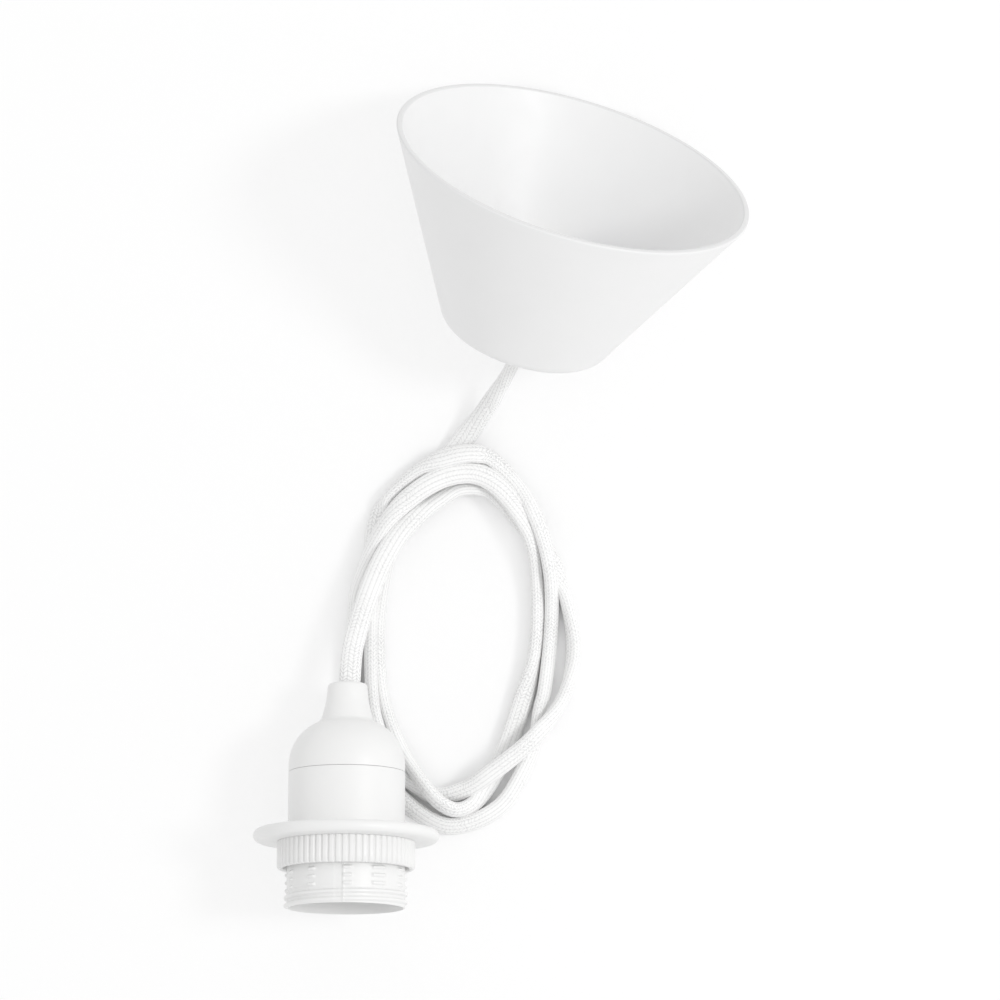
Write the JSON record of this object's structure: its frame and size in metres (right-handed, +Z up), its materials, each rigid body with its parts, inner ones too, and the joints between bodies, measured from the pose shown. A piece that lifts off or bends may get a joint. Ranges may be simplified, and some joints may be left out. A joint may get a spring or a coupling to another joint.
{
  "type": "pendant cord set",
  "caption": "Pendant cord set lying coiled: cone-shaped ceiling cup, flat textile cord and screw lamp holder with a ribbed shade ring.",
  "frame": {"origin": "centre, on the table, of the set without its cord", "axes": "+Z up from the table; +Y from the lamp holder's mouth towards the ceiling cup's rim; +X to the right of both"},
  "size_m": [0.1586, 0.2713, 0.1031],
  "materials": {
    "cup_plastic": "satin",
    "holder_plastic": "satin",
    "inner_plastic": "matte",
    "textile_braid": "woven",
    "brass": "bright",
    "zinc_steel": "zinc plated",
    "brown_core": "matte",
    "blue_core": "matte"
  },
  "bodies": {
    "set": {"ceiling_cup": "cup_plastic", "cup_bush": "inner_plastic", "suspension_hook": "holder_plastic", "hook_clamp_plate": "holder_plastic", "hook_clamp_screw_1": "zinc_steel", "hook_clamp_screw_2": "zinc_steel", "terminal_block": "inner_plastic", "terminal_tube_1": "brass", "terminal_tube_2": "brass", "terminal_screw_1": "zinc_steel", "terminal_screw_2": "zinc_steel", "terminal_screw_3": "zinc_steel", "terminal_screw_4": "zinc_steel", "cup_core_live": "brown_core", "cup_core_neutral": "blue_core", "holder_body": "holder_plastic", "holder_cap": "holder_plastic", "cord_grip": "inner_plastic", "cord_grip_screw": "zinc_steel", "contact_insert": "inner_plastic", "centre_contact": "brass", "side_contact": "brass", "contact_screw_1": "zinc_steel", "contact_screw_2": "zinc_steel", "screw_shell": "zinc_steel", "holder_core_live": "brown_core", "holder_core_neutral": "blue_core", "cord_from_cup": "textile_braid", "cord_coil": "textile_braid", "cord_to_holder": "textile_braid"},
    "ring": {"shade_ring": "holder_plastic"}
  },
  "joints": [
    {"name": "shade_ring_slide", "type": "slide", "parent": "set", "child": "ring", "axis": [0, -0.9767, 0.2147], "range_m": [0, 0.022]}
  ]
}
